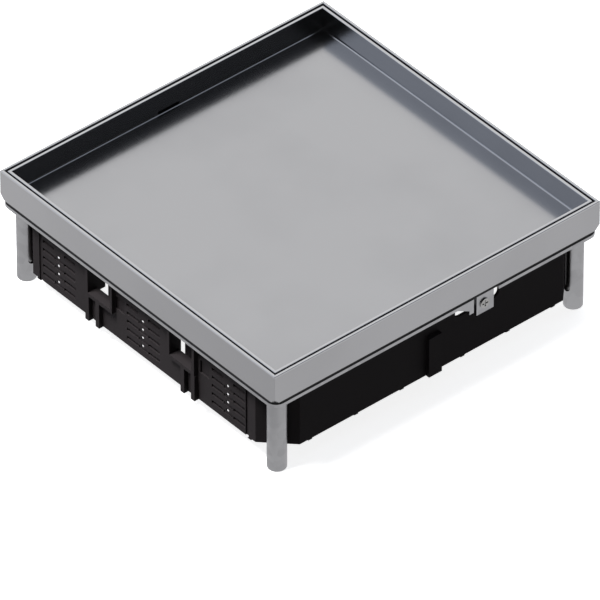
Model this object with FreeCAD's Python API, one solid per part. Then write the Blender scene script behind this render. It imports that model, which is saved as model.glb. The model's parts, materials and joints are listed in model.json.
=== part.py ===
import FreeCAD, Part
import math
import os
from FreeCAD import Placement, Rotation, Vector

# Square floor socket box with a recessed lid, on four levelling feet.
# Millimetres. X and Y run along the sides, +Z is up, and the origin is on the floor
# below the middle of the box. The earth terminal is on the -Y side.

# ---------------------------------------------------------------- driving dimensions
total_height = 77.5          # floor to the top edge of the frame, feet screwed right in

# frame
frame_side = 246.0
frame_sheet = 1.9
skirt_height = 20.2
ledge_width = 14.0           # from the outside of the skirt to the edge of the window
rim_fillet = 0.4
corner_relief = 3.3          # cut at the bottom of each corner of the skirt
gasket_thickness = 2.1
gasket_inset = 0.3           # how far the gasket sits back from the skirt
lower_corner_radius = 6.5    # gasket and flange corners
flange_sheet = 2.2
flange_edge_room = 5.0       # from the middles of the housing screws to the flange's window

# lid
lid_gap = 1.2                # all round, between lid and skirt
lid_sheet = 1.9
recess_depth = 15.2          # room for the floor covering
lid_bend_radius = 1.2        # inside
lid_outer_bend_radius = 1.6
lift_slot_length = 16.0
lift_slot_height = 2.0
lift_slot_rise = 0.3         # above the floor of the recess
seal_base_thickness = 1.0
seal_base_width = 9.0
seal_lip_thickness = 0.8
seal_side_gap = 0.1          # between the seal and the inside of the skirt
seal_lip_drop = 2.2          # from the top of the frame down to the top of the lip
stiffener_clearance = 3.0    # between the stiffener and the frame window
stiffener_sheet = 1.5
stiffener_rib_height = 1.3
stiffener_rib_width = 8.0
stiffener_rib_count = 5

# levelling feet
foot_inset = 10.4            # from the outside of the skirt to the middle of a foot
sleeve_diameter = 11.8
sleeve_wall = 1.0
sleeve_edge_radius = 0.5
guide_slot_width = 5.7
guide_slot_bottom = 12.7     # lowest point of the rounded end, above the floor
running_clearance = 0.05     # radial, for parts that turn or slide in each other
spindle_diameter = 6.0
spindle_end = 6.0            # height of the spindle's lower end
collar_diameter = 9.4
collar_play = 0.2            # axial, below the ledge
collar_room = 0.6            # radial, between a collar and the gasket
driver_access_diameter = 7.0 # holes in ledge and seal above the spindles
driver_slot_width = 1.2
driver_slot_depth = 0.9
foot_drop = 5.0              # from the flange down to the top of the foot
foot_floor = 2.2             # thickness of the closed end of the foot
guide_lug_drop = 8.5         # from the flange down to the middle of the guide lugs
guide_lug_clearance = 0.25
guide_lug_setback = 0.2      # behind the outside of the sleeve
pad_thickness = 1.4
pad_lift = 0.3               # the pad stays this far above the end of its sleeve
pad_inset = 0.25             # radial, behind the surface of the foot

# plastic housing
wall_setback = 5.0           # from the skirt to the housing wall
housing_wall = 2.0
housing_depth = 40.6         # below the flange
corner_cut = 18.0            # leg of the cut corner
foot_room = 0.5              # between a sleeve and the housing
rim_width = 4.0
rim_thickness = 2.0
rib_front = 2.8              # how far ribs, shelves and cheeks stand out from the wall
nub_width = 3.0
side_nub_height = 0.7
end_nub_height = 1.2
side_nub_end = 25.8          # from the wall's end to the last nub
side_nub_count = 3
end_nub_end = 23.5           # from the wall's end
pilaster_width = 9.8
pilaster_drop = 12.2         # below the flange

# device bays in the two end walls (-X and +X)
bay_end_room = 4.0           # wall beyond the last bay
slot_pitch = 6.05
slot_count = 5
lowest_slot_drop = 34.9      # from the flange to the middle of the lowest slot
slot_height = 2.2
slot_half_length = 14.7
slot_depth = 1.4
middle_half = 4.0            # half width of the thin strip in the middle of a bay
middle_wall = 1.0
middle_slot_depth = 0.5
middle_edge = 0.5            # wall left between the thin strip and the ends of the slots
window_width = 2.6
window_height = 2.4
window_offset = 0.8
window_rise = 1.85           # from the middle of a slot to the middle of the window above it
groove_end = 24.0            # from the wall's end
groove_width = 2.6
groove_depth = 0.8
pocket_height = 9.5
pocket_drop = 19.8           # from the flange to the bottom of the pocket
pocket_depth = 1.1
pocket_gap = 2.0             # between the ends of the slots and the pocket

# cable notches in the end walls, between the bays
notch_width = 20.0
notch_shift = 1.3            # towards the middle of the wall, from halfway between two bays
notch_depth = 20.4
shelf_thickness = 2.6
shelf_depth = 7.4
near_cheek = 1.8
near_cheek_depth = 8.9
far_cheek = 2.0
far_cheek_depth = 13.3
cheek_cut = 4.0
notch_rib_width = 3.2
notch_rib_offset = 9.9       # from the near edge of the notch
notch_rib_pitch = 9.3
notch_rib_overrun = 0.6      # below the housing
finger_offset = 5.3          # from the near edge of the notch
finger_width = 5.0
finger_thickness = 1.8
finger_drop = 2.0            # below the flange
finger_cut = 3.0
finger_root = 1.0            # overlap with the shelf

# earth terminal
earth_window_start = 17.0
earth_window_end = 50.6
earth_window_depth = 10.2    # below the flange
earth_window_radius = 3.5
lug_start = 30.3
lug_width = 13.0
lug_drop = 12.8              # below the flange
lug_setback = 1.5
lug_bend_radius = 2.0
lug_slit = 3.4               # free width between the tab and the lug
lug_notch = 2.7              # free width on the other side of the lug
tab_width = 3.3
tab_drop = 7.7               # below the flange
gusset_width = 9.0           # sloping web between the flange and the tab
gusset_drop = 4.8            # below the flange
earth_screw_x = 36.2
earth_screw_drop = 6.0       # below the flange
earth_screw_diameter = 4.0
earth_screw_length = 11.5
earth_head_diameter = 6.6
earth_head_height = 0.8
recess_arm_length = 4.4
recess_arm_width = 1.0
recess_arm_depth = 0.5
clamp_width = 10.0
clamp_height = 6.0
clamp_thickness = 2.0
clamp_gap = 0.4              # between the clamp plate and the lug when tightened

# fixing screws
boss_notch_gap = 5.8         # from the cheek of a notch to the middle of the next boss
side_boss_end = 46.0         # from the wall's end
boss_tray_gap = 0.5          # between a boss and the outer tray
boss_diameter = 7.0
boss_length = 12.0
boss_web = 2.4
screw_diameter = 3.0
screw_length = 10.0
screw_head_diameter = 5.6
screw_head_height = 1.5
screw_recess_width = 0.8

# device trays
tray_sheet = 1.5
tray_width = 52.0
tray_drop = 23.6             # from the flange down to the underside of a tray
tray_side_drop = 7.0         # from the flange down to the top of a tray's sides
tray_half_length = 88.0
short_tray_end = 28.0
hanger_width = 20.0
hanger_gap = 2.5             # between the end of a hanger and the end wall
rest_width = 22.0
rest_depth = 9.0
rest_thickness = 3.0
rest_drop = 10.0             # below the flange
tray_screw_line = 5.5        # from the housing wall to the tray screws
tray_hole_clearance = 0.1    # radial
wire_slot_length = 20.0
wire_slot_height = 8.0
wire_slot_rise = 3.0

# outlets
module_size = 44.8
module_opening = 45.2
module_pitch = 54.0
module_flange = 47.0
module_flange_thickness = 2.0
module_depth = 20.5
module_edge_radius = 0.8
well_diameter = 39.5
well_depth = 17.5
pin_spacing = 19.0
pin_hole_diameter = 5.0
clip_width = 5.0
clip_thickness = 0.9
clip_height = 14.0
jack_width = 12.0
jack_height = 9.0
jack_depth = 13.0
jack_spacing = 20.0
latch_notch_depth = 2.0
contact_count = 8
contact_pitch = 1.02
contact_width = 0.45
contact_length = 9.0

# cutting tools and roots of added pieces run past the surface by this much
over = 1.0

# ---------------------------------------------------------------- places worked out from them
half = frame_side / 2
frame_top = total_height
skirt_bottom = frame_top - skirt_height
ledge_top = skirt_bottom + frame_sheet
window_half = half - ledge_width
gasket_bottom = skirt_bottom - gasket_thickness
flange_bottom = gasket_bottom - flange_sheet
skirt_inner = half - frame_sheet
seal_out = skirt_inner - seal_side_gap

lid_half = skirt_inner - lid_gap
lid_inner = lid_half - lid_sheet
lid_bottom = ledge_top + seal_base_thickness
lid_floor = lid_bottom + lid_sheet
lid_top = lid_floor + recess_depth

foot_place = half - foot_inset
sleeve_radius = sleeve_diameter / 2
sleeve_bore = sleeve_radius - sleeve_wall
spindle_radius = spindle_diameter / 2
collar_radius = collar_diameter / 2
access_radius = driver_access_diameter / 2
foot_radius = sleeve_bore - running_clearance
foot_bore = spindle_radius + running_clearance
foot_bottom = pad_lift + pad_thickness
foot_top = flange_bottom - foot_drop
guide_lug_height = flange_bottom - guide_lug_drop

wall_out = half - wall_setback
wall_in = wall_out - housing_wall
wall_middle = wall_in + housing_wall / 2
rib_out = wall_out + rib_front
lug_front = -half + lug_setback
lug_back = lug_front + flange_sheet
bay_pitch = 2 * (wall_out - bay_end_room) / 3
bays = [-bay_pitch, 0.0, bay_pitch]
slot_heights = [flange_bottom - lowest_slot_drop + i * slot_pitch for i in range(slot_count)]
screw_radius = screw_diameter / 2
housing_bottom = flange_bottom - housing_depth
side_nub_pitch = (wall_out - side_nub_end) / (side_nub_count - 1 / 3)
side_nub_places = [side_nub_pitch * (i + 2 / 3) for i in range(side_nub_count)]
end_nub_place = wall_out - end_nub_end
pilaster_top = flange_bottom - pilaster_drop
groove_far = wall_out - groove_end
groove_near = groove_far - groove_width
pocket_bottom = flange_bottom - pocket_drop
notch_near = bay_pitch / 2 - notch_shift - notch_width / 2
notch_far = notch_near + notch_width
notch_floor = flange_bottom - notch_depth
notch_rib_starts = [notch_near + notch_rib_offset, notch_near + notch_rib_offset + notch_rib_pitch]
notch_rib_bottom = housing_bottom - notch_rib_overrun
finger_near = notch_near + finger_offset
finger_top = flange_bottom - finger_drop
earth_window_floor = flange_bottom - earth_window_depth
lug_bottom = flange_bottom - lug_drop
tab_bottom = flange_bottom - tab_drop
earth_screw_z = flange_bottom - earth_screw_drop
boss_row = bays[-1] + tray_width / 2 + boss_tray_gap + boss_diameter / 2
flange_window = boss_row - flange_edge_room
boss_place = notch_far + far_cheek + boss_notch_gap
side_boss_place = wall_out - side_boss_end
rest_top = flange_bottom - rest_drop
tray_floor = flange_bottom - tray_drop
tray_side_top = flange_bottom - tray_side_drop
tray_screw_place = wall_in - tray_screw_line
module_top = tray_floor + tray_sheet + module_flange_thickness
module_bottom = module_top - module_depth
well_floor = module_top - well_depth
full_tray_modules = [-module_pitch, 0.0, module_pitch]
short_tray_modules = [-module_pitch, 0.0]
corners = [("front_left", -1, -1), ("front_right", 1, -1), ("back_right", 1, 1), ("back_left", -1, 1)]


# ---------------------------------------------------------------- building blocks
def block(x0, x1, y0, y1, z0, z1):
    """Box between two values on each axis, given in either order."""
    low = Vector(min(x0, x1), min(y0, y1), min(z0, z1))
    return Part.makeBox(abs(x1 - x0), abs(y1 - y0), abs(z1 - z0), low)


def rod(x, y, z0, z1, radius):
    """Upright cylinder."""
    return Part.makeCylinder(radius, z1 - z0, Vector(x, y, z0))


def square(half_side, z0, z1):
    """Upright square prism about the Z axis."""
    return block(-half_side, half_side, -half_side, half_side, z0, z1)


def rounded_square(half_side, radius, z0, z1):
    """Square prism with its upright edges rounded."""
    body = square(half_side, z0, z1)
    upright = [e for e in body.Edges if abs(e.Vertexes[0].Z - e.Vertexes[1].Z) > (z1 - z0) / 2]
    return body.makeFillet(radius, upright)


def cut_square(half_side, leg, z0, z1):
    """Square prism with its corners cut off at 45 degrees."""
    flat = half_side - leg
    points = []
    for ax, ay, bx, by in ((1, -1, 1, 1), (1, 1, -1, 1), (-1, 1, -1, -1), (-1, -1, 1, -1)):
        for sx, sy in ((ax, ay), (bx, by)):
            along_x = ax == bx
            x = sx * half_side if along_x else sx * flat
            y = sy * flat if along_x else sy * half_side
            points.append(Vector(x, y, z0))
    outline = Part.makePolygon(points + [points[0]])
    return Part.Face(outline).extrude(Vector(0, 0, z1 - z0))


def joined(shapes):
    """One solid from several that touch or overlap."""
    first = shapes[0]
    if len(shapes) == 1:
        return first
    return first.multiFuse(shapes[1:]).removeSplitter()


def without(body, tools):
    """The body with every tool cut away."""
    return body.cut(Part.makeCompound(tools)).removeSplitter()


def soften(body, radius, test):
    """Round the edges for which test(edge) holds."""
    return body.makeFillet(radius, [e for e in body.Edges if test(e)])


def level_edge(edge, z):
    """True for an edge that lies at height z."""
    return all(abs(v.Z - z) < 0.001 for v in edge.Vertexes)


def corner_places():
    """Name and middle of each foot."""
    return [(name, sx * foot_place, sy * foot_place, sx, sy) for name, sx, sy in corners]


def foot_holes(radius, z0, z1):
    """Round holes above the four feet."""
    return [rod(x, y, z0, z1, radius) for name, x, y, sx, sy in corner_places()]


def cross(x, y, z_top, arm_length, arm_width, depth):
    """Cross recess for an upright screw, as a cutting tool."""
    a = arm_length / 2
    w = arm_width / 2
    bars = [block(x - a, x + a, y - w, y + w, z_top - depth, z_top),
            block(x - w, x + w, y - a, y + a, z_top - depth, z_top)]
    return joined(bars)


def save(name, shape):
    """Write one sub-part."""
    shape.exportStep("parts/" + name + ".step")


# ---------------------------------------------------------------- frame
def outer_frame():
    """Mitred steel angle: skirt with a ledge turned inwards at its foot."""
    body = square(half, skirt_bottom, frame_top)
    body = without(body, [square(skirt_inner, ledge_top, frame_top + over),
                          square(window_half, skirt_bottom - over, ledge_top + over)])
    body = soften(body, rim_fillet, lambda e: level_edge(e, frame_top))
    reliefs = []
    for name, sx, sy in corners:
        tip = Vector(sx * half, sy * half, skirt_bottom)
        along_x = tip - Vector(sx * corner_relief, 0, 0)
        along_y = tip - Vector(0, sy * corner_relief, 0)
        base = Part.Face(Part.makePolygon([tip, along_x, along_y, tip]))
        top = tip + Vector(0, 0, corner_relief)
        sides = [Part.Face(Part.makePolygon([a, b, top, a]))
                 for a, b in ((tip, along_x), (along_x, along_y), (along_y, tip))]
        reliefs.append(Part.Solid(Part.Shell([base] + sides)))
    access = foot_holes(access_radius, skirt_bottom - over, ledge_top + over)
    return without(body, reliefs + access)


def frame_gasket():
    """Flat rubber gasket between the frame and the flange."""
    ring = rounded_square(half - gasket_inset, lower_corner_radius, gasket_bottom, skirt_bottom)
    window = square(window_half, gasket_bottom - over, skirt_bottom + over)
    around_collars = foot_holes(collar_radius + collar_room, gasket_bottom - over, skirt_bottom + over)
    return without(ring, [window] + around_collars)


def housing_screw_places():
    """Middles of the screws that hold the housing to the flange."""
    ends = [(sx * boss_row, sy * boss_place) for sx in (-1, 1) for sy in (-1, 1)]
    sides = [(sx * side_boss_place, sy * boss_row) for sx in (-1, 1) for sy in (-1, 1)]
    return ends + sides


def countersink(x, y):
    """Cone and hole for one housing screw, or the screw's own head and shank."""
    cone = Part.makeCone(screw_radius, screw_head_diameter / 2, screw_head_height,
                         Vector(x, y, gasket_bottom - screw_head_height))
    return cone, rod(x, y, gasket_bottom - screw_length, gasket_bottom, screw_radius)


def carrier_flange():
    """Steel flange under the gasket, with the earth lug bent down from its edge."""
    ring = rounded_square(half, lower_corner_radius, flange_bottom, gasket_bottom)
    tab_end = lug_start - lug_slit
    tab_start = tab_end - tab_width
    lug_end = lug_start + lug_width
    lug = block(lug_start, lug_end, lug_front, lug_back, lug_bottom, gasket_bottom)
    tab = block(tab_start, tab_end, -half, -half + flange_sheet, tab_bottom, gasket_bottom)
    root = Vector(tab_start, -half, flange_bottom)
    slope = Part.makePolygon([root, root - Vector(gusset_width, 0, 0),
                              root - Vector(0, 0, gusset_drop), root])
    gusset = Part.Face(slope).extrude(Vector(0, flange_sheet, 0))
    body = joined([ring, lug, tab, gusset])
    edge_cut = block(tab_end, lug_end + lug_notch, -half - over, lug_front,
                     flange_bottom - over, gasket_bottom + over)
    gaps = [block(x0, x1, -half - over, lug_back + over, flange_bottom - over, gasket_bottom + over)
            for x0, x1 in ((tab_end, lug_start), (lug_end, lug_end + lug_notch))]
    window = square(flange_window, flange_bottom - over, gasket_bottom + over)
    spindles = foot_holes(spindle_radius + running_clearance, flange_bottom - over, gasket_bottom + over)
    screws = []
    for x, y in housing_screw_places():
        screws.extend(countersink(x, y))
    hole = Part.makeCylinder(earth_screw_diameter / 2 + running_clearance, flange_sheet + 2 * over,
                             Vector(earth_screw_x, lug_front - over, earth_screw_z), Vector(0, 1, 0))
    body = without(body, [edge_cut, window, hole] + gaps + spindles + screws)
    return soften(body, lug_bend_radius, lambda e: level_edge(e, gasket_bottom)
                  and e.BoundBox.YLength < 0.001 and abs(e.BoundBox.YMin - lug_front) < 0.001)


# ---------------------------------------------------------------- lid
def lid_tray():
    """Folded steel tray that carries the floor covering."""
    body = square(lid_half, lid_bottom, lid_top)
    body = soften(body, lid_outer_bend_radius, lambda e: level_edge(e, lid_bottom))
    recess = square(lid_inner, lid_floor, lid_top + over)
    recess = soften(recess, lid_bend_radius, lambda e: level_edge(e, lid_floor))
    body = body.cut(recess)
    body = soften(body, rim_fillet, lambda e: level_edge(e, lid_top))
    slot_floor = lid_floor + lift_slot_rise
    slot = block(-lift_slot_length / 2, lift_slot_length / 2, lid_inner - lid_bend_radius,
                 lid_half + over, slot_floor, slot_floor + lift_slot_height)
    return without(body, [slot])


def lid_stiffener():
    """Ribbed plate spot-welded under the lid's floor."""
    reach = window_half - stiffener_clearance
    plate_bottom = lid_bottom - stiffener_sheet
    pieces = [square(reach, plate_bottom, lid_bottom)]
    rib_pitch = 2 * reach / (stiffener_rib_count + 1)
    for i in range(stiffener_rib_count):
        y = -reach + (i + 1) * rib_pitch
        pieces.append(block(-reach + stiffener_rib_width, reach - stiffener_rib_width,
                            y - stiffener_rib_width / 2, y + stiffener_rib_width / 2,
                            plate_bottom - stiffener_rib_height, plate_bottom))
    return joined(pieces)


def lid_seal():
    """Seal on the ledge, with a lip that stands in the gap around the lid."""
    base = square(seal_out, ledge_top, ledge_top + seal_base_thickness)
    base = base.cut(square(seal_out - seal_base_width, ledge_top - over, lid_top))
    lip = square(seal_out, ledge_top, frame_top - seal_lip_drop)
    lip = lip.cut(square(seal_out - seal_lip_thickness, ledge_top - over, frame_top))
    access = foot_holes(access_radius, ledge_top - over, lid_bottom + over)
    return without(joined([base, lip]), access)


# ---------------------------------------------------------------- levelling feet
def levelling_sleeve(x, y, sx, sy):
    """Tube under the flange with two guide slots that face along the sides."""
    tube = rod(x, y, 0, flange_bottom, sleeve_radius)
    tube = soften(tube, sleeve_edge_radius, lambda e: level_edge(e, 0))
    slots = []
    for dx, dy in ((-sx, 0), (0, -sy)):
        low = guide_slot_bottom + guide_slot_width / 2
        w = guide_slot_width / 2
        end = Part.makeCylinder(w, sleeve_radius + over, Vector(x, y, low), Vector(dx, dy, 0))
        reach = sleeve_radius + 1
        run = block(x - w * abs(dy), x + w * abs(dy) + reach * dx,
                    y - w * abs(dx), y + w * abs(dx) + reach * dy, low, flange_bottom + over)
        slots.extend([end, run])
    return without(tube, [rod(x, y, -1, flange_bottom + over, sleeve_bore)] + slots)


def levelling_spindle(x, y):
    """Screw spindle, held by its collar between the flange and the ledge."""
    seat = gasket_bottom + running_clearance
    stem = rod(x, y, spindle_end, seat, spindle_radius)
    collar = rod(x, y, seat, skirt_bottom - collar_play, collar_radius)
    drive = block(x - collar_radius, x + collar_radius, y - driver_slot_width / 2,
                  y + driver_slot_width / 2, skirt_bottom - collar_play - driver_slot_depth, skirt_bottom)
    return without(joined([stem, collar]), [drive])


def levelling_foot(x, y, sx, sy):
    """Threaded tube that the spindle drives out of the sleeve, with its guide lugs."""
    tube = rod(x, y, foot_bottom, foot_top, foot_radius)
    pin_radius = guide_slot_width / 2 - guide_lug_clearance
    reach = sleeve_radius - guide_lug_setback
    lugs = [Part.makeCylinder(pin_radius, reach, Vector(x, y, guide_lug_height), Vector(dx, dy, 0))
            for dx, dy in ((-sx, 0), (0, -sy))]
    return without(joined([tube] + lugs), [rod(x, y, foot_bottom + foot_floor, foot_top + over, foot_bore)])


def foot_pad(x, y):
    """Rubber disc under the foot."""
    return rod(x, y, pad_lift, foot_bottom, foot_radius - pad_inset)


# ---------------------------------------------------------------- housing
def end_block(side, sy, x0, x1, y0, y1, z0, z1):
    """Box on the end wall of one side (-1 or 1), with y counted outwards from the middle."""
    return block(side * x0, side * x1, sy * y0, sy * y1, z0, z1)


def bay_tools(side, centre):
    """Slots and windows to cut for one device bay."""
    cuts = [block(side * (wall_in - over), side * (wall_out - middle_wall), centre - middle_half,
                  centre + middle_half, slot_heights[0] - slot_height, slot_heights[-1] + slot_height)]
    for way in (-1, 1):
        for z in slot_heights:
            cuts.append(block(side * (wall_out - slot_depth), side * (wall_out + over),
                              centre + way * (middle_half + middle_edge), centre + way * slot_half_length,
                              z - slot_height / 2, z + slot_height / 2))
    for z in slot_heights[:-1]:
        cuts.append(block(side * (wall_out - middle_slot_depth), side * (wall_out + over),
                          centre - middle_half, centre + middle_half,
                          z - slot_height / 2, z + slot_height / 2))
        middle = z + window_rise
        cuts.append(block(side * (wall_in - over), side * (wall_out + over),
                          centre + window_offset - window_width / 2,
                          centre + window_offset + window_width / 2,
                          middle - window_height / 2, middle + window_height / 2))
    return cuts


def notch_pieces(side, sy):
    """Shelf, cheeks, ribs and finger around one cable notch."""
    shelf_bottom = notch_floor - shelf_thickness
    near_edge = notch_near - near_cheek
    far_edge = notch_far + far_cheek
    shelf_back = rib_out - shelf_depth
    shelf = end_block(side, sy, shelf_back, rib_out, near_edge, far_edge, shelf_bottom, notch_floor)
    near = end_block(side, sy, rib_out - near_cheek_depth, rib_out, near_edge, notch_near,
                     shelf_bottom, flange_bottom)
    far = end_block(side, sy, rib_out - far_cheek_depth, rib_out, notch_far, far_edge,
                    shelf_bottom, flange_bottom)
    back = side * (rib_out - far_cheek_depth)
    tip = Vector(back, 0, flange_bottom)
    corner = Part.makePolygon([tip, tip + Vector(side * cheek_cut, 0, 0),
                               tip - Vector(0, 0, cheek_cut), tip])
    wedge = Part.Face(corner).extrude(Vector(0, sy * (far_edge + over), 0))
    far = far.cut(wedge)
    ribs = [end_block(side, sy, wall_out - over, rib_out, start, start + notch_rib_width,
                      notch_rib_bottom, shelf_bottom) for start in notch_rib_starts]
    front = shelf_back + finger_root
    finger = end_block(side, sy, shelf_back - finger_thickness, front, finger_near,
                       finger_near + finger_width, shelf_bottom, notch_floor)
    upright = end_block(side, sy, shelf_back - finger_thickness, shelf_back, finger_near,
                        finger_near + finger_width, notch_floor, finger_top)
    tip = Vector(0, sy * finger_near, finger_top)
    slope = Part.makePolygon([tip, tip + Vector(0, sy * finger_cut, 0),
                              tip - Vector(0, 0, finger_cut), tip])
    upright = upright.cut(Part.Face(slope).extrude(Vector(side * half, 0, 0)))
    return [shelf, near, far, finger, upright] + ribs


def screw_boss(x, y, inward_x, inward_y):
    """Boss with the web that joins it to the wall, and its hole."""
    z0 = flange_bottom - boss_length
    post = rod(x, y, z0, flange_bottom, boss_diameter / 2)
    w = boss_web / 2
    if inward_x:
        web = block(x, math.copysign(wall_middle, x), y - w, y + w, z0, flange_bottom)
    else:
        web = block(x - w, x + w, y, math.copysign(wall_middle, y), z0, flange_bottom)
    hole = rod(x, y, flange_bottom - screw_length, flange_bottom + over, screw_radius)
    return [post, web], hole


def earth_window():
    """Opening in the -Y wall behind the earth lug, with rounded lower corners."""
    tool = block(earth_window_start, earth_window_end, -rib_out, -wall_in + rim_width + over,
                 earth_window_floor, flange_bottom + over)
    return soften(tool, earth_window_radius,
                  lambda e: level_edge(e, earth_window_floor) and e.BoundBox.XLength < 0.001)


def housing():
    """Plastic box without a floor, open for cables, that holds the device trays."""
    outer = cut_square(wall_out, corner_cut, housing_bottom, flange_bottom)
    outer = without(outer, foot_holes(sleeve_radius + foot_room, housing_bottom - over,
                                      flange_bottom + over))
    lean = housing_wall * (2 - math.sqrt(2))
    inner = cut_square(wall_in, corner_cut - lean, housing_bottom - over, flange_bottom + over)
    inner = without(inner, foot_holes(sleeve_radius + foot_room + housing_wall,
                                      housing_bottom - 2 * over, flange_bottom + 2 * over))
    opening = cut_square(wall_in - rim_width, corner_cut - lean, flange_bottom - rim_thickness - over,
                         flange_bottom + over)
    body = outer.cut(inner)
    rim = inner.common(square(half, flange_bottom - rim_thickness, flange_bottom)).cut(opening)
    adds = [body, rim]
    cuts = []
    for side in (-1, 1):
        for centre in bays:
            cuts.extend(bay_tools(side, centre))
            adds.append(block(side * (wall_in - rest_depth), side * wall_middle, centre - rest_width / 2,
                              centre + rest_width / 2, rest_top - rest_thickness, rest_top))
            cuts.append(rod(side * tray_screw_place, centre, rest_top - rest_thickness - over,
                            rest_top + over, screw_radius))
        for centre in bays[:-1]:
            start = centre + slot_half_length + pocket_gap
            end = centre + notch_near - near_cheek
            cuts.append(block(side * (wall_out - pocket_depth), side * (wall_out + over), start, end,
                              pocket_bottom, pocket_bottom + pocket_height))
        for sy in (-1, 1):
            cuts.append(end_block(side, sy, wall_out - groove_depth, wall_out + over, groove_near,
                                  groove_far, housing_bottom - over, flange_bottom - rim_thickness))
            adds.append(end_block(side, sy, wall_in, wall_out, end_nub_place - nub_width / 2,
                                  end_nub_place + nub_width / 2, housing_bottom - end_nub_height,
                                  housing_bottom + over))
    for sy in (-1, 1):
        adds.append(block(-pilaster_width / 2, pilaster_width / 2, sy * wall_in, sy * rib_out,
                          housing_bottom, pilaster_top))
        for place in side_nub_places:
            for sx in (-1, 1):
                adds.append(block(sx * place - nub_width / 2, sx * place + nub_width / 2, sy * wall_in,
                                  sy * wall_out, housing_bottom - side_nub_height, housing_bottom + over))
    for x, y in housing_screw_places():
        on_end_wall = abs(x) > abs(y)
        pieces, hole = screw_boss(x, y, on_end_wall, not on_end_wall)
        adds.extend(pieces)
        cuts.append(hole)
    for side in (-1, 1):
        for sy in (-1, 1):
            cuts.append(end_block(side, sy, wall_in - rim_width - over, rib_out + over, notch_near,
                                  notch_far, notch_floor, flange_bottom + over))
    cuts.append(earth_window())
    shell = without(joined(adds), cuts)
    notches = []
    for side in (-1, 1):
        for sy in (-1, 1):
            notches.extend(notch_pieces(side, sy))
    return joined([shell] + notches)


def housing_screws():
    """The countersunk screws between flange and housing, as a group."""
    screws = []
    for x, y in housing_screw_places():
        cone, shank = countersink(x, y)
        recess = cross(x, y, gasket_bottom, screw_diameter, screw_recess_width, screw_head_height / 2)
        screws.append(joined([cone, shank]).cut(recess))
    return Part.makeCompound(screws)


# ---------------------------------------------------------------- earth terminal
def earth_screw():
    """Cross-headed screw, held by its head in front of the lug."""
    along = Vector(0, 1, 0)
    head_back = lug_front - running_clearance
    head_front = head_back - earth_head_height
    recess_floor = head_front + recess_arm_depth
    head = Part.makeCylinder(earth_head_diameter / 2, earth_head_height,
                             Vector(earth_screw_x, head_front, earth_screw_z), along)
    shank = Part.makeCylinder(earth_screw_diameter / 2, earth_screw_length,
                              Vector(earth_screw_x, head_back, earth_screw_z), along)
    a = recess_arm_length / 2
    w = recess_arm_width / 2
    arms = [block(earth_screw_x - a, earth_screw_x + a, head_front - over, recess_floor,
                  earth_screw_z - w, earth_screw_z + w),
            block(earth_screw_x - w, earth_screw_x + w, head_front - over, recess_floor,
                  earth_screw_z - a, earth_screw_z + a)]
    return without(joined([head, shank]), arms)


def earth_clamp():
    """Threaded plate behind the lug that the earth screw pulls against the wire."""
    start = lug_back + clamp_gap
    plate = block(earth_screw_x - clamp_width / 2, earth_screw_x + clamp_width / 2,
                  start, start + clamp_thickness,
                  earth_screw_z - clamp_height / 2, earth_screw_z + clamp_height / 2)
    hole = Part.makeCylinder(earth_screw_diameter / 2 + running_clearance, clamp_thickness + 2 * over,
                             Vector(earth_screw_x, start - over, earth_screw_z), Vector(0, 1, 0))
    return without(plate, [hole])


# ---------------------------------------------------------------- trays and outlets
def device_tray(centre, far_end, modules):
    """Sheet trough hung between the end walls, with a square opening for each outlet."""
    y0 = centre - tray_width / 2
    y1 = centre + tray_width / 2
    pieces = [block(-tray_half_length, far_end, y0, y1, tray_floor, tray_floor + tray_sheet)]
    for inner, outer in ((y0 + tray_sheet, y0), (y1 - tray_sheet, y1)):
        pieces.append(block(-tray_half_length, far_end, inner, outer, tray_floor, tray_side_top))
    hanger_top = rest_top + tray_sheet
    hanger_end = wall_in - hanger_gap
    for end, way in ((-tray_half_length, -1), (far_end, 1)):
        pieces.append(block(end, end - way * tray_sheet, y0, y1, tray_floor, hanger_top))
        pieces.append(block(end - way * tray_sheet, way * hanger_end, centre - hanger_width / 2,
                            centre + hanger_width / 2, rest_top, hanger_top))
    cuts = []
    for x in modules:
        h = module_opening / 2
        cuts.append(block(x - h, x + h, centre - h, centre + h, tray_floor - over,
                          tray_floor + tray_sheet + over))
    for end, way in ((-tray_half_length, -1), (far_end, 1)):
        cuts.append(block(end - way * (tray_sheet + over), end + way, centre - wire_slot_length / 2,
                          centre + wire_slot_length / 2, tray_floor + wire_slot_rise,
                          tray_floor + wire_slot_rise + wire_slot_height))
        cuts.append(rod(way * tray_screw_place, centre, rest_top - over, hanger_top + over,
                        screw_radius + tray_hole_clearance))
    return without(joined(pieces), cuts)


def tray_screws():
    """Pan-head screws that hold the trays on their rests, as a group."""
    screws = []
    head_bottom = rest_top + tray_sheet
    for centre in bays:
        for side in (-1, 1):
            x = side * tray_screw_place
            head = rod(x, centre, head_bottom, head_bottom + screw_head_height, screw_head_diameter / 2)
            shank = rod(x, centre, rest_top - rest_thickness, head_bottom, screw_radius)
            recess = cross(x, centre, head_bottom + screw_head_height, screw_diameter, screw_recess_width,
                           screw_head_height / 2)
            screws.append(joined([head, shank]).cut(recess))
    return Part.makeCompound(screws)


def module_blank(x, y):
    """Square insert that drops into a tray opening and rests on its flange."""
    h = module_size / 2
    f = module_flange / 2
    plate = block(x - f, x + f, y - f, y + f, module_top - module_flange_thickness, module_top)
    plate = soften(plate, module_edge_radius, lambda e: level_edge(e, module_top))
    stem = block(x - h, x + h, y - h, y + h, module_bottom, module_top - module_flange_thickness)
    return joined([plate, stem])


def clip_places(x):
    """Middles of the two earth clips in the socket well centred on x."""
    reach = well_diameter / 2 - clip_thickness / 2
    return [x - reach, x + reach]


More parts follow.
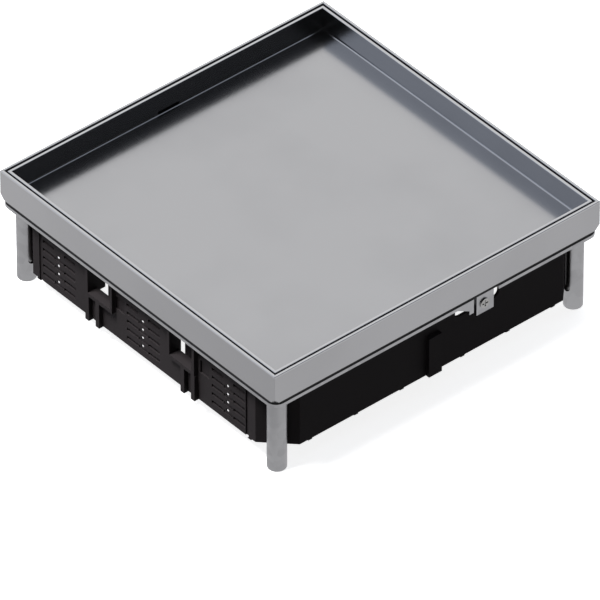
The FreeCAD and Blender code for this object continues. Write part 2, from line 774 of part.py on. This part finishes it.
def power_outlet(x, y):
    """Socket outlet with a round well, two pin holes and seats for the earth clips."""
    well = rod(x, y, well_floor, module_top + over, well_diameter / 2)
    pins = [rod(x, y + way * pin_spacing / 2, module_bottom - over, well_floor + over,
                pin_hole_diameter / 2) for way in (-1, 1)]
    seats = [block(place - clip_thickness / 2, place + clip_thickness / 2, y - clip_width / 2,
                   y + clip_width / 2, well_floor, module_top + over) for place in clip_places(x)]
    return without(module_blank(x, y), [well] + pins + seats)


def earth_clips(places):
    """Earth contacts of all the power outlets, as a group."""
    clips = []
    for x, y in places:
        for place in clip_places(x):
            clips.append(block(place - clip_thickness / 2, place + clip_thickness / 2, y - clip_width / 2,
                               y + clip_width / 2, well_floor, well_floor + clip_height))
    return Part.makeCompound(clips)


def jack_places(x):
    """Middles of the two jacks of a data outlet centred on x."""
    return [x - jack_spacing / 2, x + jack_spacing / 2]


def data_outlet(x, y):
    """Insert with two modular jack openings."""
    cuts = []
    for place in jack_places(x):
        cuts.append(block(place - jack_width / 2, place + jack_width / 2, y - jack_height / 2,
                          y + jack_height / 2, module_top - jack_depth, module_top + over))
        cuts.append(block(place - jack_width / 4, place + jack_width / 4,
                          y - jack_height / 2 - latch_notch_depth, y - jack_height / 2 + over,
                          module_top - jack_depth, module_top + over))
    return without(module_blank(x, y), cuts)


def jack_contacts(places):
    """Contact wires of all the jacks, as a group."""
    wires = []
    base = module_top - jack_depth
    for x, y in places:
        for place in jack_places(x):
            for i in range(contact_count):
                middle = place + (i - (contact_count - 1) / 2) * contact_pitch
                back = y + jack_height / 2
                wires.append(block(middle - contact_width / 2, middle + contact_width / 2,
                                   back - contact_width, back, base, base + contact_length))
    return Part.makeCompound(wires)


# ---------------------------------------------------------------- write every sub-part
os.makedirs("parts", exist_ok=True)
save("outer_frame", outer_frame())
save("frame_gasket", frame_gasket())
save("carrier_flange", carrier_flange())
save("lid_tray", lid_tray())
save("lid_stiffener", lid_stiffener())
save("lid_seal", lid_seal())
for name, x, y, sx, sy in corner_places():
    save("levelling_sleeve_" + name, levelling_sleeve(x, y, sx, sy))
    save("levelling_spindle_" + name, levelling_spindle(x, y))
    save("levelling_foot_" + name, levelling_foot(x, y, sx, sy))
    save("foot_pad_" + name, foot_pad(x, y))
save("housing", housing())
save("housing_screws", housing_screws())
save("earth_screw", earth_screw())
save("earth_clamp", earth_clamp())
save("tray_screws", tray_screws())

power_places = []
data_places = []
for index, centre in enumerate(reversed(bays)):
    short = index == len(bays) - 1
    modules = short_tray_modules if short else full_tray_modules
    end = short_tray_end if short else tray_half_length
    save("device_tray_" + str(index + 1), device_tray(centre, end, modules))
    places = data_places if short else power_places
    places.extend([(x, centre) for x in modules])
for index, (x, y) in enumerate(power_places):
    save("power_outlet_" + str(index + 1), power_outlet(x, y))
for index, (x, y) in enumerate(data_places):
    save("data_outlet_" + str(index + 1), data_outlet(x, y))
save("earth_clips", earth_clips(power_places))
save("jack_contacts", jack_contacts(data_places))
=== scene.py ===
import bpy
import bmesh
import json
import math
from mathutils import Matrix, Vector


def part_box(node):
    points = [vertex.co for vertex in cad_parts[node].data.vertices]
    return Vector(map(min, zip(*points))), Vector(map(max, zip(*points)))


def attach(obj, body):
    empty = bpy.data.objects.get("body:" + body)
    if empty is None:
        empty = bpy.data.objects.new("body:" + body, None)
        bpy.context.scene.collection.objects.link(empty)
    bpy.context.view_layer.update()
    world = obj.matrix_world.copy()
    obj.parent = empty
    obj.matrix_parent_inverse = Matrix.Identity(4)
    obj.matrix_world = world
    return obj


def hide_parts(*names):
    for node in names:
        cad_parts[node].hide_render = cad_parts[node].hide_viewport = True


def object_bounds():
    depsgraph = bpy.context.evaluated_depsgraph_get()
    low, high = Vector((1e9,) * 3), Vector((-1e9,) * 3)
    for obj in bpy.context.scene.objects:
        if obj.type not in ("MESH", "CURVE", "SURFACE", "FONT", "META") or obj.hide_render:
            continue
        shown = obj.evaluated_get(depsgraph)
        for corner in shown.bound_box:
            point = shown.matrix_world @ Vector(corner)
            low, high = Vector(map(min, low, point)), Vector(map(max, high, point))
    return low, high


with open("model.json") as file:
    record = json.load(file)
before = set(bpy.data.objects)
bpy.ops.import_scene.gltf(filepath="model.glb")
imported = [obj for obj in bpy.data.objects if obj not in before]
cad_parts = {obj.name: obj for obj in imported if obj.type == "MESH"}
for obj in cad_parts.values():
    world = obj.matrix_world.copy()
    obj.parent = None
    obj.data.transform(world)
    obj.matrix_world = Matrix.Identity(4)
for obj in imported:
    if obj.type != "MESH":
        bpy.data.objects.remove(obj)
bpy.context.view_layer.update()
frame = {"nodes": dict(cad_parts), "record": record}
nodes = frame["nodes"]
mm = 0.001
scene = bpy.context.scene
print("frame loaded:", len(nodes), "nodes")


class Val:
    # a number socket that can be used in Python arithmetic
    def __init__(self, tree, socket):
        self.tree = tree
        self.socket = socket

    def math(self, operation, *others):
        node = self.tree.nodes.new("ShaderNodeMath")
        node.operation = operation
        for i, item in enumerate((self,) + others):
            plug(self.tree, node.inputs[i], item)
        return Val(self.tree, node.outputs[0])

    def __add__(self, other):
        return self.math("ADD", other)

    def __sub__(self, other):
        return self.math("SUBTRACT", other)

    def __rsub__(self, other):
        return (self * -1) + other

    def __mul__(self, other):
        return self.math("MULTIPLY", other)

    def __truediv__(self, other):
        return self.math("DIVIDE", other)

    def __abs__(self):
        return self.math("ABSOLUTE")

    __radd__ = __add__

    def above(self, edge, soft):
        # 0 below the edge, 1 above it, over a soft band
        return ((self - edge) / soft + 0.5).math("MAXIMUM", 0.0).math("MINIMUM", 1.0)

    def near(self, middle, halfWidth, soft):
        # 1 inside a band about the middle
        return (halfWidth - abs(self - middle)).above(0.0, soft)


def plug(tree, target, item):
    # link or set one input, whatever it is given
    if isinstance(item, Val):
        tree.links.new(item.socket, target)
    elif isinstance(item, bpy.types.NodeSocket):
        tree.links.new(item, target)
    elif isinstance(item, (tuple, list)) and len(item) == 3 and len(target.default_value) == 4:
        target.default_value = (*item, 1.0)
    else:
        target.default_value = item


class Tree:
    # nodes of one material or world
    def __init__(self, owner):
        owner.use_nodes = True
        self.tree = owner.node_tree
        self.tree.nodes.clear()

    def node(self, kind, settings=None, inputs=None):
        made = self.tree.nodes.new(kind)
        for key, value in (settings or {}).items():
            if key == "stops":
                ramp = made.color_ramp
                for i, (place, colour) in enumerate(value):
                    stop = ramp.elements[i] if i < 2 else ramp.elements.new(place)
                    stop.position = place
                    stop.color = (*colour, 1.0)
            else:
                setattr(made, key, value)
        for key, item in (inputs or {}).items():
            plug(self.tree, made.inputs[key], item)
        return made

    def place(self):
        return self.node("ShaderNodeTexCoord").outputs["Object"]

    def axes(self, vector):
        made = self.node("ShaderNodeSeparateXYZ", inputs={"Vector": vector})
        return [Val(self.tree, made.outputs[i]) for i in range(3)]

    def stretched(self, vector, scale):
        made = self.node("ShaderNodeMapping", inputs={"Vector": vector, "Scale": scale})
        return made.outputs[0]

    def noise(self, vector, scale, detail, rough=0.5):
        made = self.node("ShaderNodeTexNoise", inputs={"Vector": vector, "Scale": scale,
                                                       "Detail": detail, "Roughness": rough})
        return Val(self.tree, made.outputs["Fac"])

    def cells(self, vector, scale):
        made = self.node("ShaderNodeTexVoronoi", inputs={"Vector": vector, "Scale": scale})
        return Val(self.tree, self.axes(made.outputs["Color"])[0].socket)

    def mix(self, factor, a, b):
        made = self.node("ShaderNodeMix", {"data_type": "RGBA"})
        plug(self.tree, made.inputs[0], factor)
        plug(self.tree, made.inputs[6], a)
        plug(self.tree, made.inputs[7], b)
        return made.outputs[2]

    def bump(self, height):
        made = self.node("ShaderNodeBump", inputs={"Height": height, "Distance": 1.0,
                                                   "Strength": 1.0})
        return made.outputs[0]

    def surface(self, inputs):
        shader = self.node("ShaderNodeBsdfPrincipled", inputs=inputs)
        self.node("ShaderNodeOutputMaterial", inputs={"Surface": shader.outputs[0]})


materials = {}


def newMaterial(name):
    made = bpy.data.materials.new(name)
    materials[name] = made
    return Tree(made)


# noises below are written as scale, detail and, where a third number stands, roughness

# folded steel of the frame and the lid
foldedSteel = {
    "colour": (0.50, 0.50, 0.506),
    "dirtColour": (0.40, 0.40, 0.405),
    "clouds": (14.0, 3.0),
    "dirtEdge": 0.62,
    "dirtSoft": 0.35,
    "dirtShare": 0.35,
    "brushing": (1.0, 2.0),
    "brushStretch": (700.0, 25.0, 700.0),
    "roughness": 0.20,
    "roughnessSpread": 0.05,
    "rimHighlightColour": (0.63, 0.63, 0.635),   # painted highlight along the top rim
    "rimHighlightHeight": 76.6 * mm,
    "rimHighlightSoft": 0.3 * mm,
    "grain": (1800.0, 1.0),
    "grainDepth": 0.004 * mm,
    "seamHalfWidth": 0.16 * mm,         # the mitred joints at the corners
    "seamDepth": 0.10 * mm,
    "seamShare": 0.5,
}


def steelSurface(name, seams):
    v = foldedSteel
    t = newMaterial(name)
    place = t.place()
    x, y, z = t.axes(place)
    clouds = t.noise(place, *v["clouds"])
    brushing = t.noise(t.stretched(place, v["brushStretch"]), *v["brushing"])
    grain = t.noise(place, *v["grain"])
    dirt = clouds.above(v["dirtEdge"], v["dirtSoft"]) * v["dirtShare"]
    colour = t.mix(dirt, v["colour"], v["dirtColour"])
    # painted highlight: the steel turns lighter above the rim height
    colour = t.mix(z.above(v["rimHighlightHeight"], v["rimHighlightSoft"]), colour, v["rimHighlightColour"])
    height = grain * v["grainDepth"]
    if seams:
        seam = abs(abs(x) - abs(y)).near(0.0, v["seamHalfWidth"], v["seamHalfWidth"])
        colour = t.mix(seam * v["seamShare"], colour, v["dirtColour"])
        height = height - seam * v["seamDepth"]
    rough = v["roughness"] + (clouds + brushing - 1.0) * v["roughnessSpread"]
    t.surface({"Base Color": colour, "Metallic": 1.0, "Roughness": rough,
               "Normal": t.bump(height)})


steelSurface("frameSteel", True)
steelSurface("lidSteel", False)

# galvanised sheet, tube and screws, with soft spangle
zincCoat = {
    "spangleShare": 0.5,
    "spangleRoughness": 0.10,
    "clouds": (40.0, 3.0),
    "cloudShare": 0.4,
    "cloudRoughness": 0.12,
    "grain": (2200.0, 1.0),
    "grainDepth": 0.008 * mm,
}
galvanised = {
    "flangeSteel": {
        "colour": (0.52, 0.52, 0.525),
        "dark": (0.42, 0.42, 0.43),
        "spangleScale": 160.0,
        "roughness": 0.34,
    },
    "sleeveSteel": {
        "colour": (0.50, 0.50, 0.505),
        "dark": (0.43, 0.43, 0.435),
        "spangleScale": 220.0,
        "roughness": 0.36,
    },
    "footSteel": {
        "colour": (0.42, 0.42, 0.42),
        "dark": (0.33, 0.33, 0.33),
        "spangleScale": 300.0,
        "roughness": 0.38,
    },
    "zincScrews": {
        "colour": (0.55, 0.55, 0.54),
        "dark": (0.42, 0.41, 0.39),
        "spangleScale": 500.0,
        "roughness": 0.30,
    },
    "zincSheet": {
        "colour": (0.55, 0.56, 0.57),
        "dark": (0.42, 0.43, 0.44),
        "spangleScale": 110.0,
        "roughness": 0.38,
    },
}
for name, own in galvanised.items():
    v = {**zincCoat, **own}
    t = newMaterial(name)
    place = t.place()
    spangle = t.cells(place, v["spangleScale"])
    clouds = t.noise(place, *v["clouds"])
    grain = t.noise(place, *v["grain"])
    darkness = spangle * v["spangleShare"] + clouds * v["cloudShare"]
    unevenness = (spangle - 0.5) * v["spangleRoughness"] + (clouds - 0.5) * v["cloudRoughness"]
    t.surface({"Base Color": t.mix(darkness, v["colour"], v["dark"]), "Metallic": 1.0,
               "Roughness": v["roughness"] + unevenness,
               "Normal": t.bump(grain * v["grainDepth"])})

# rubber of the seal, the gasket and the pads, a little dusty
rubberSkin = {
    "clouds": (60.0, 4.0),
    "dustEdge": 0.6,
    "dustSoft": 0.3,
    "dustShare": 0.6,
    "roughnessSpread": 0.2,
    "grain": (1500.0, 2.0),
    "grainDepth": 0.02 * mm,
}
rubber = {
    "gasketRubber": {
        # the gasket's own black, taken darker still as painted shade under the frame's skirt
        "colour": (0.012, 0.012, 0.013),
        "dust": (0.035, 0.035, 0.036),
        "roughness": 0.7,
    },
    "sealRubber": {
        "colour": (0.010, 0.010, 0.011),
        "dust": (0.03, 0.03, 0.032),
        "roughness": 0.65,
    },
    "padRubber": {
        "colour": (0.02, 0.02, 0.02),
        "dust": (0.06, 0.06, 0.06),
        "roughness": 0.7,
    },
}
for name, own in rubber.items():
    v = {**rubberSkin, **own}
    t = newMaterial(name)
    place = t.place()
    clouds = t.noise(place, *v["clouds"])
    grain = t.noise(place, *v["grain"])
    dust = clouds.above(v["dustEdge"], v["dustSoft"]) * v["dustShare"]
    t.surface({"Base Color": t.mix(dust, v["colour"], v["dust"]),
               "Roughness": v["roughness"] + (clouds - 0.5) * v["roughnessSpread"],
               "Normal": t.bump(grain * v["grainDepth"])})

# moulded housing, fine spark-eroded texture
housingPlastic = {
    "colour": (0.034, 0.030, 0.031),
    "pale": (0.046, 0.040, 0.042),
    "clouds": (22.0, 3.0),
    "paleEdge": 0.5,
    "paleSoft": 0.6,
    "roughness": 0.55,
    "cloudRoughness": 0.12,
    "grainRoughness": 0.1,
    "specular": 0.05,
    "grain": (1100.0, 2.0, 0.6),
    "grainDepth": 0.03 * mm,
}
v = housingPlastic
t = newMaterial("housingPlastic")
place = t.place()
clouds = t.noise(place, *v["clouds"])
grain = t.noise(place, *v["grain"])
unevenness = (clouds - 0.5) * v["cloudRoughness"] + (grain - 0.5) * v["grainRoughness"]
t.surface({"Base Color": t.mix(clouds.above(v["paleEdge"], v["paleSoft"]), v["colour"], v["pale"]),
           "Roughness": v["roughness"] + unevenness,
           "Specular IOR Level": v["specular"],
           "Normal": t.bump(grain * v["grainDepth"])})

# outlets, smooth off-white plastic
outletPlastic = {
    "colour": (0.80, 0.80, 0.77),
    "worn": (0.74, 0.74, 0.71),
    "clouds": (70.0, 3.0),
    "roughness": 0.28,
    "roughnessSpread": 0.12,
    "grain": (900.0, 1.0),
    "grainDepth": 0.006 * mm,
}
v = outletPlastic
t = newMaterial("outletPlastic")
place = t.place()
clouds = t.noise(place, *v["clouds"])
grain = t.noise(place, *v["grain"])
t.surface({"Base Color": t.mix(clouds, v["colour"], v["worn"]),
           "Roughness": v["roughness"] + (clouds - 0.5) * v["roughnessSpread"],
           "Normal": t.bump(grain * v["grainDepth"])})

# contacts and clips, dull brass
brassContacts = {
    "colour": (0.70, 0.52, 0.24),
    "tarnish": (0.55, 0.38, 0.16),
    "clouds": (120.0, 3.0),
    "roughness": 0.25,
    "roughnessSpread": 0.2,
}
v = brassContacts
t = newMaterial("brassContacts")
clouds = t.noise(t.place(), *v["clouds"])
t.surface({"Base Color": t.mix(clouds, v["colour"], v["tarnish"]), "Metallic": 1.0,
           "Roughness": v["roughness"] + (clouds - 0.5) * v["roughnessSpread"]})
print("materials made:", len(materials))

# which material each slot of the record takes
slotMaterials = {
    "frame_steel": "frameSteel", "lid_steel": "lidSteel", "flange_steel": "flangeSteel",
    "sleeve_steel": "sleeveSteel", "foot_steel": "footSteel", "zinc_screws": "zincScrews",
    "zinc_sheet": "zincSheet", "gasket_rubber": "gasketRubber", "seal_rubber": "sealRubber",
    "pad_rubber": "padRubber", "housing_plastic": "housingPlastic",
    "outlet_plastic": "outletPlastic", "brass_contacts": "brassContacts",
}
for row in frame["record"]["subparts"]:
    for materialSlot in nodes[row["node"]].material_slots:
        materialSlot.material = materials[slotMaterials[row["material_slot"]]]
print("slots dressed:", len(slotMaterials))

# levelling spindles with their threads and slotted collars
spindle = {
    "corners": ("front_left", "front_right", "back_right", "back_left"),
    "coreRadius": 2.55 * mm,
    "coreSides": 32,
    "threadRadius": 2.72 * mm,
    "threadWire": 0.27 * mm,
    "threadSides": 4,
    "pitch": 1.0 * mm,
    "stepsPerTurn": 16,
    "neck": 2.4 * mm,
    "collarRadius": 4.7 * mm,
    "collarSides": 40,
    "collarLift": 0.05 * mm,     # the collar starts this far above the gasket's underside
    "slotWidth": 1.2 * mm,
    "slotDepth": 0.9 * mm,
}


def threadTree(material):
    # node group of a plain core with a wire wound round it
    tree = bpy.data.node_groups.new("threadedRod", "GeometryNodeTree")
    wanted = (("Core Radius", "NodeSocketFloat"), ("Thread Radius", "NodeSocketFloat"),
              ("Wire Radius", "NodeSocketFloat"), ("Length", "NodeSocketFloat"),
              ("Turns", "NodeSocketFloat"), ("Steps Per Turn", "NodeSocketInt"))
    for label, kind in wanted:
        tree.interface.new_socket(label, in_out="INPUT", socket_type=kind)
    tree.interface.new_socket("Geometry", in_out="OUTPUT", socket_type="NodeSocketGeometry")
    new = tree.nodes.new
    link = tree.links.new
    source = new("NodeGroupInput")
    spiral = new("GeometryNodeCurveSpiral")
    link(source.outputs["Steps Per Turn"], spiral.inputs["Resolution"])
    link(source.outputs["Turns"], spiral.inputs["Rotations"])
    link(source.outputs["Thread Radius"], spiral.inputs["Start Radius"])
    link(source.outputs["Thread Radius"], spiral.inputs["End Radius"])
    link(source.outputs["Length"], spiral.inputs["Height"])
    wire = new("GeometryNodeCurvePrimitiveCircle")
    wire.inputs["Resolution"].default_value = spindle["threadSides"]
    link(source.outputs["Wire Radius"], wire.inputs["Radius"])
    sweep = new("GeometryNodeCurveToMesh")
    sweep.inputs["Fill Caps"].default_value = True
    link(spiral.outputs[0], sweep.inputs["Curve"])
    link(wire.outputs[0], sweep.inputs["Profile Curve"])
    core = new("GeometryNodeMeshCylinder")
    core.inputs["Vertices"].default_value = spindle["coreSides"]
    link(source.outputs["Core Radius"], core.inputs["Radius"])
    link(source.outputs["Length"], core.inputs["Depth"])
    half = new("ShaderNodeMath")
    half.operation = "MULTIPLY"
    half.inputs[1].default_value = 0.5
    link(source.outputs["Length"], half.inputs[0])
    lift = new("ShaderNodeCombineXYZ")
    link(half.outputs[0], lift.inputs["Z"])
    raised = new("GeometryNodeTransform")
    link(core.outputs[0], raised.inputs["Geometry"])
    link(lift.outputs[0], raised.inputs["Translation"])
    both = new("GeometryNodeJoinGeometry")
    link(raised.outputs[0], both.inputs[0])
    link(sweep.outputs[0], both.inputs[0])
    real = new("GeometryNodeRealizeInstances")
    link(both.outputs[0], real.inputs[0])
    dressed = new("GeometryNodeSetMaterial")
    dressed.inputs["Material"].default_value = material
    link(real.outputs[0], dressed.inputs["Geometry"])
    out = new("NodeGroupOutput")
    link(dressed.outputs[0], out.inputs[0])
    return tree


rodTree = threadTree(materials["zincScrews"])


def threadedRod(length):
    # a threaded rod that stands on the origin, as a plain mesh
    holder = bpy.data.objects.new("rodMaker", bpy.data.meshes.new("rodMaker"))
    scene.collection.objects.link(holder)
    modifier = holder.modifiers.new("rod", "NODES")
    modifier.node_group = rodTree
    values = {"Core Radius": spindle["coreRadius"], "Thread Radius": spindle["threadRadius"],
              "Wire Radius": spindle["threadWire"], "Length": length,
              "Turns": length / spindle["pitch"], "Steps Per Turn": spindle["stepsPerTurn"]}
    for item in rodTree.interface.items_tree:
        if item.in_out == "INPUT":
            modifier[item.identifier] = values[item.name]
    evaluated = holder.evaluated_get(bpy.context.evaluated_depsgraph_get())
    made = bpy.data.meshes.new_from_object(evaluated)
    holder.modifiers.remove(modifier)
    bpy.data.objects.remove(holder)
    return made


def prism(mesh, outline, low, high):
    # closed upright prism over a list of (x, y) points, counter-clockwise
    bottom = [mesh.verts.new((x, y, low)) for x, y in outline]
    top = [mesh.verts.new((x, y, high)) for x, y in outline]
    mesh.faces.new(list(reversed(bottom)))
    mesh.faces.new(top)
    for i in range(len(outline)):
        j = (i + 1) % len(outline)
        mesh.faces.new((bottom[i], bottom[j], top[j], top[i]))


def arc(radius, start, end, steps):
    angles = [start + (end - start) * i / steps for i in range(steps + 1)]
    return [(radius * math.cos(a), radius * math.sin(a)) for a in angles]


def ring(radius, sides):
    return arc(radius, 0.0, 2 * math.pi, sides)[:-1]


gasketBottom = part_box("frame_gasket")[0].z
for corner in spindle["corners"]:
    node = "levelling_spindle_" + corner
    low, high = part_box(node)
    middle = (low + high) / 2
    slotFloor = high.z - spindle["slotDepth"]
    collarBottom = gasketBottom + spindle["collarLift"]
    threadTop = collarBottom - spindle["neck"]
    made = threadedRod(threadTop - low.z)
    mesh = bmesh.new()
    mesh.from_mesh(made)
    bmesh.ops.translate(mesh, verts=mesh.verts, vec=(0.0, 0.0, low.z))
    prism(mesh, ring(spindle["coreRadius"], spindle["coreSides"]), threadTop, collarBottom)
    prism(mesh, ring(spindle["collarRadius"], spindle["collarSides"]), collarBottom, slotFloor)
    bite = math.asin(spindle["slotWidth"] / 2 / spindle["collarRadius"])
    for start in (0.0, math.pi):
        half = arc(spindle["collarRadius"], start + bite, start + math.pi - bite,
                   spindle["collarSides"] // 2)
        prism(mesh, half, slotFloor, high.z)
    bmesh.ops.translate(mesh, verts=mesh.verts, vec=(middle.x, middle.y, 0.0))
    mesh.to_mesh(made)
    mesh.free()
    piece = bpy.data.objects.new("threadedSpindle_" + corner, made)
    scene.collection.objects.link(piece)
    for polygon in made.polygons:
        polygon.material_index = 0
    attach(piece, "spindle_" + corner)
    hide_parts(node)
print("spindles threaded:", len(spindle["corners"]))

# floor and surroundings
studio = {
    "white": (1.0, 1.0, 1.0),
    "floorSize": 8.0,
    "floorDrop": 0.2 * mm,
    "floorGlow": 0.84,                          # added to what the camera sees of the floor
    "floorColour": (0.80, 0.80, 0.80),
    "floorBounce": (0.085, 0.085, 0.085),       # what the floor throws back at the object
    "floorInMetal": (0.70, 0.70, 0.715),        # how the metal mirrors the floor
    "floorInMetalPaintedShade": (0.585, 0.585, 0.60),    # the same with painted shade, dimmer towards the near left
    "paintedShadeAlongX": (-140 * mm, 30 * mm),          # where the painted shade ends, and its soft band
    "paintedShadeAlongY": (70 * mm, 200 * mm),
    "domeStops": (
        (0.35, (0.018, 0.018, 0.019)),
        (0.665, (0.59, 0.645, 0.76)),
        (0.87, (0.91, 0.91, 0.915)),
    ),
    "domeAlong": (0.40, 0.90, 0.0),             # the side from which the dome is brightest
}
low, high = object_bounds()
t = newMaterial("studioFloor")
rays = t.node("ShaderNodeLightPath")
diffuse = t.node("ShaderNodeBsdfDiffuse", inputs={"Color": studio["floorColour"]})
glow = t.node("ShaderNodeEmission", inputs={"Color": studio["white"],
                                            "Strength": studio["floorGlow"]})
seen = t.node("ShaderNodeAddShader", inputs={0: diffuse.outputs[0], 1: glow.outputs[0]})
x, y, z = t.axes(t.place())
# painted shade: the floor as the metal mirrors it grows darker towards the near left
paintedShade = (1.0 - x.above(*studio["paintedShadeAlongX"])) * (1.0 - y.above(*studio["paintedShadeAlongY"]))
mirrorColour = t.mix(paintedShade, studio["floorInMetal"], studio["floorInMetalPaintedShade"])
mirrored = t.node("ShaderNodeEmission", inputs={"Color": mirrorColour, "Strength": 1.0})
bounce = t.node("ShaderNodeBsdfDiffuse", inputs={"Color": studio["floorBounce"]})
notSeen = t.node("ShaderNodeMixShader", inputs={0: rays.outputs["Is Glossy Ray"],
                                                1: bounce.outputs[0], 2: mirrored.outputs[0]})
both = t.node("ShaderNodeMixShader", inputs={0: rays.outputs["Is Camera Ray"],
                                             1: notSeen.outputs[0], 2: seen.outputs[0]})
t.node("ShaderNodeOutputMaterial", inputs={"Surface": both.outputs[0]})
mesh = bmesh.new()
bmesh.ops.create_grid(mesh, x_segments=1, y_segments=1, size=studio["floorSize"] / 2)
floorMesh = bpy.data.meshes.new("studioFloor")
mesh.to_mesh(floorMesh)
mesh.free()
floor = bpy.data.objects.new("studioFloor", floorMesh)
floor.location.z = low.z - studio["floorDrop"]
floor.data.materials.append(materials["studioFloor"])
scene.collection.objects.link(floor)

world = bpy.data.worlds.new("softDome")
scene.world = world
t = Tree(world)
rays = t.node("ShaderNodeLightPath")
direction = t.node("ShaderNodeTexCoord").outputs["Generated"]
along = t.node("ShaderNodeVectorMath", {"operation": "DOT_PRODUCT"},
               {0: direction, 1: studio["domeAlong"]})
ramp = t.node("ShaderNodeValToRGB", {"stops": studio["domeStops"]},
              {"Fac": Val(t.tree, along.outputs["Value"]) * 0.5 + 0.5})
dome = t.node("ShaderNodeBackground", inputs={"Color": ramp.outputs[0], "Strength": 1.0})
white = t.node("ShaderNodeBackground", inputs={"Color": studio["white"], "Strength": 1.0})
chosen = t.node("ShaderNodeMixShader", inputs={0: rays.outputs["Is Camera Ray"],
                                               1: dome.outputs[0], 2: white.outputs[0]})
t.node("ShaderNodeOutputWorld", inputs={"Surface": chosen.outputs[0]})

# lamps; the metal mirrors the dome and the floor alone
lamps = {
    "leftSoftbox": {"place": (-0.80, 0.25, 1.60), "size": 0.5, "power": 37.0},
    "topSoftbox": {"place": (0.2, 0.8, 2.0), "size": 1.4, "power": 10.0},
}
for name, v in lamps.items():
    data = bpy.data.lights.new(name, "AREA")
    data.size = v["size"]
    data.energy = v["power"]
    lamp = bpy.data.objects.new(name, data)
    lamp.location = v["place"]
    lamp.rotation_euler = (-Vector(v["place"])).to_track_quat("-Z", "Y").to_euler()
    lamp.visible_glossy = False
    scene.collection.objects.link(lamp)
print("studio ready")

# camera, placed from the middle of the top
camera = {
    "side": (0.7622, -0.6473, 0.0),
    "up": (0.4112, 0.4841, 0.7723),
    "back": (-0.4999, -0.5887, 0.6352),
    "distance": 30.33,      # in widths of the frame, as the drop
    "drop": 0.2691,
    "lens": 775.2,
    "sensor": 36.0,
    "clip": (1.0, 30.0),
}
width = high.x - low.x
side, up, back = (Vector(camera[key]).normalized() for key in ("side", "up", "back"))
topMiddle = Vector(((low.x + high.x) / 2, (low.y + high.y) / 2, high.z))
data = bpy.data.cameras.new("camera")
data.lens = camera["lens"]
data.sensor_width = camera["sensor"]
data.clip_start, data.clip_end = camera["clip"]
cam = bpy.data.objects.new("camera", data)
turn = Matrix((side, up, back)).transposed()
eye = topMiddle + width * (back * camera["distance"] - up * camera["drop"])
cam.matrix_world = Matrix.Translation(eye) @ turn.to_4x4()
scene.collection.objects.link(cam)
scene.camera = cam
scene.view_settings.view_transform = "Standard"
print("camera at", [round(c, 3) for c in eye])
